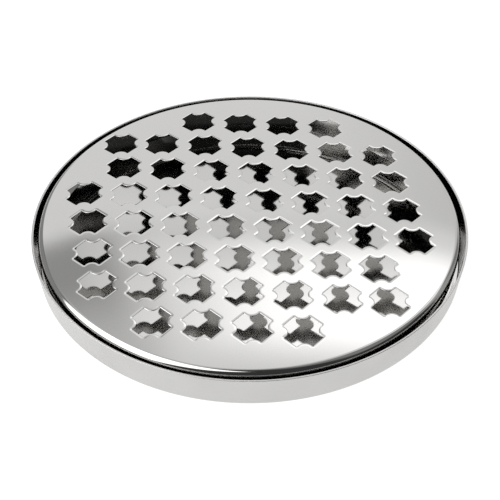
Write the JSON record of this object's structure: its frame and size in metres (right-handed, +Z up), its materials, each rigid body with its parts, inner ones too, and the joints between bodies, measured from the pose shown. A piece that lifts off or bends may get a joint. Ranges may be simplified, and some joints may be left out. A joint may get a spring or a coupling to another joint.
{
  "type": "round drain grate with drip pan",
  "caption": "Round polished steel drain grate, slightly domed and punched with four-armed holes, standing loose in a shallow closed drip pan.",
  "frame": {"origin": "centre of the pan's flat underside, on the surface the tray stands on", "axes": "+Z up along the pan's axis; +X to the right and +Y to the back; the grate's rows of holes run 42.4 degrees clockwise from +X"},
  "size_m": [0.14, 0.14, 0.0141],
  "materials": {
    "pan_steel": "mirror-polished inside, fine satin outside",
    "grate_steel": "mirror-polished"
  },
  "bodies": {
    "pan_body": {"drip_pan": "pan_steel"},
    "grate_body": {"grate": "grate_steel"}
  },
  "joints": [
    {"name": "grate_lift", "type": "slide", "parent": "pan_body", "child": "grate_body", "axis": [0, 0, 1], "range_m": [0, 0.04]}
  ]
}
